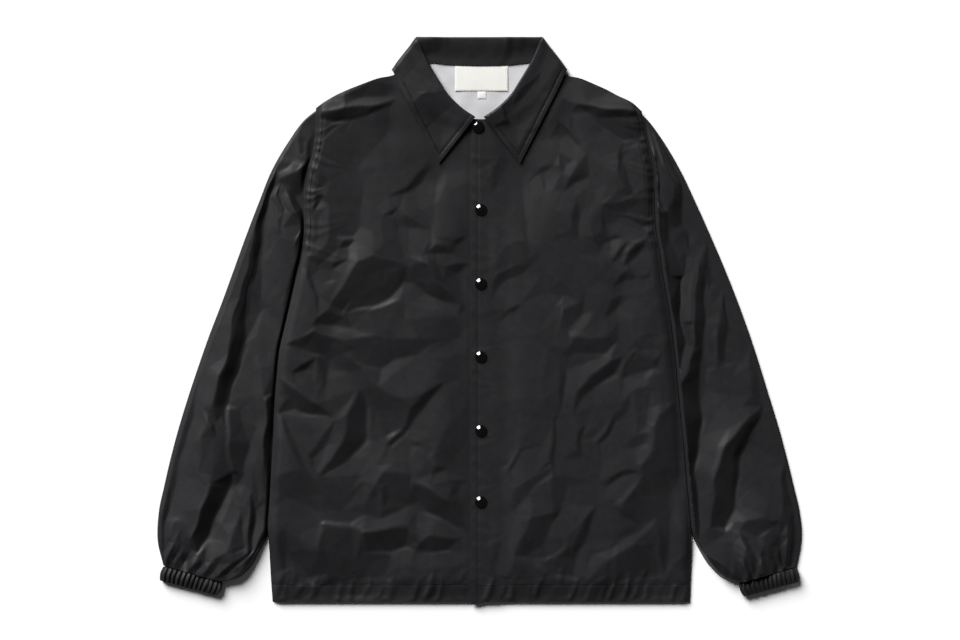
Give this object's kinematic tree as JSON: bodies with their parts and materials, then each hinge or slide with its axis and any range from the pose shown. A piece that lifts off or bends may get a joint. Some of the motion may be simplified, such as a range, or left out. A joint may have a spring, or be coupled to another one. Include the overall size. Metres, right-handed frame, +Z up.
{
  "type": "coach jacket",
  "caption": "Black nylon coach jacket laid flat, front up: point collar, snap front, hem channel and long sleeves with elastic cuffs.",
  "frame": {"origin": "centre of the laid-out jacket on the surface that it rests on", "axes": "+X to the wearer's left, which is the picture's right; +Y from the hem to the collar; +Z up from the surface, out of the front"},
  "size_m": [0.8386, 0.7384, 0.0121],
  "materials": {
    "nylon": "woven nylon taffeta, satin sheen",
    "lining": "light grey woven lining, matt",
    "label": "woven label, matt",
    "snap": "glossy black enamel cap"
  },
  "bodies": {
    "root": {"back_panel": "nylon", "front_right": "nylon", "front_left": "nylon", "collar": "nylon", "sleeve_right": "nylon", "sleeve_left": "nylon", "cuff_right": "nylon", "cuff_left": "nylon", "back_lining": "lining", "label": "label", "size_tab": "label", "snap_cap_1": "snap", "snap_cap_2": "snap", "snap_cap_3": "snap", "snap_cap_4": "snap", "snap_cap_5": "snap", "snap_cap_6": "snap"}
  },
  "joints": []
}
